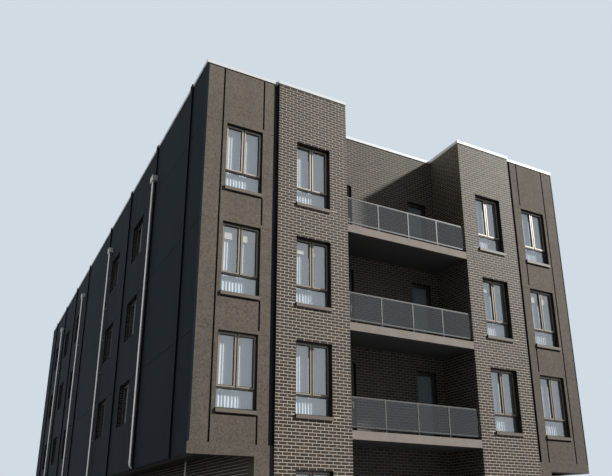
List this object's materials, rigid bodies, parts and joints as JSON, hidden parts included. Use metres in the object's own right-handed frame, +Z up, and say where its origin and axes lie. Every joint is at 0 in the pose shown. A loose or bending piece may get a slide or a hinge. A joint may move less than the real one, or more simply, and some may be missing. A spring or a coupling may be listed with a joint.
{
  "type": "apartment block",
  "caption": "Four-storey apartment block with brick and render towers beside recessed balconies, metal-clad sides carried over a narrower ground storey.",
  "frame": {"origin": "middle of the plan at ground level", "axes": "+X along the front to the right, +Y from the front to the rear, +Z up"},
  "size_m": [13.82, 30.85, 13.89],
  "materials": {
    "brick": "dark brown brick with pale mortar joints",
    "render": "coarse brown-grey render",
    "concrete": "plain concrete",
    "roofing": "pale mineral roofing felt",
    "balcony_face": "smooth taupe facing",
    "soffit": "dark matt lining",
    "dark_metal": "satin blue-black sheet metal",
    "white_metal": "satin white",
    "bronze_metal": "satin bronze",
    "grey_metal": "satin light grey",
    "glass": "clear",
    "curtain": "sheer woven"
  },
  "bodies": {
    "root": {"ground_slab": "concrete", "first_floor": "concrete", "second_floor": "concrete", "third_floor": "concrete", "roof_slab": "roofing", "front_left_brick_wall": "brick", "front_right_brick_wall": "brick", "front_left_render_wall": "render", "front_right_render_wall": "render", "recess_left_return": "brick", "recess_right_return": "brick", "recess_back_wall": "brick", "rear_brick_wall": "brick", "rear_render_walls": "render", "left_side_wall": "brick", "right_side_wall": "brick", "left_cladding": "dark_metal", "right_cladding": "dark_metal", "cladding_ribs": "dark_metal", "lower_side_walls": "brick", "corner_pillars": "render", "overhang_soffits": "soffit", "channel_strips": "dark_metal", "copings": "white_metal", "balcony_slab_1": "balcony_face", "balcony_slab_2": "balcony_face", "balcony_slab_3": "balcony_face", "porch_slab": "concrete", "railing_1": "grey_metal", "railing_2": "grey_metal", "railing_3": "grey_metal", "railing_glass": "glass", "tall_window_frames": "bronze_metal", "tall_window_glass": "glass", "side_window_frames": "bronze_metal", "side_window_glass": "glass", "window_sills": "bronze_metal", "balcony_door_frames": "bronze_metal", "balcony_door_glass": "glass", "rain_hoppers": "grey_metal", "downpipes": "grey_metal", "pipe_brackets": "grey_metal", "curtain_tracks": "white_metal", "curtains": "curtain"}
  },
  "joints": []
}
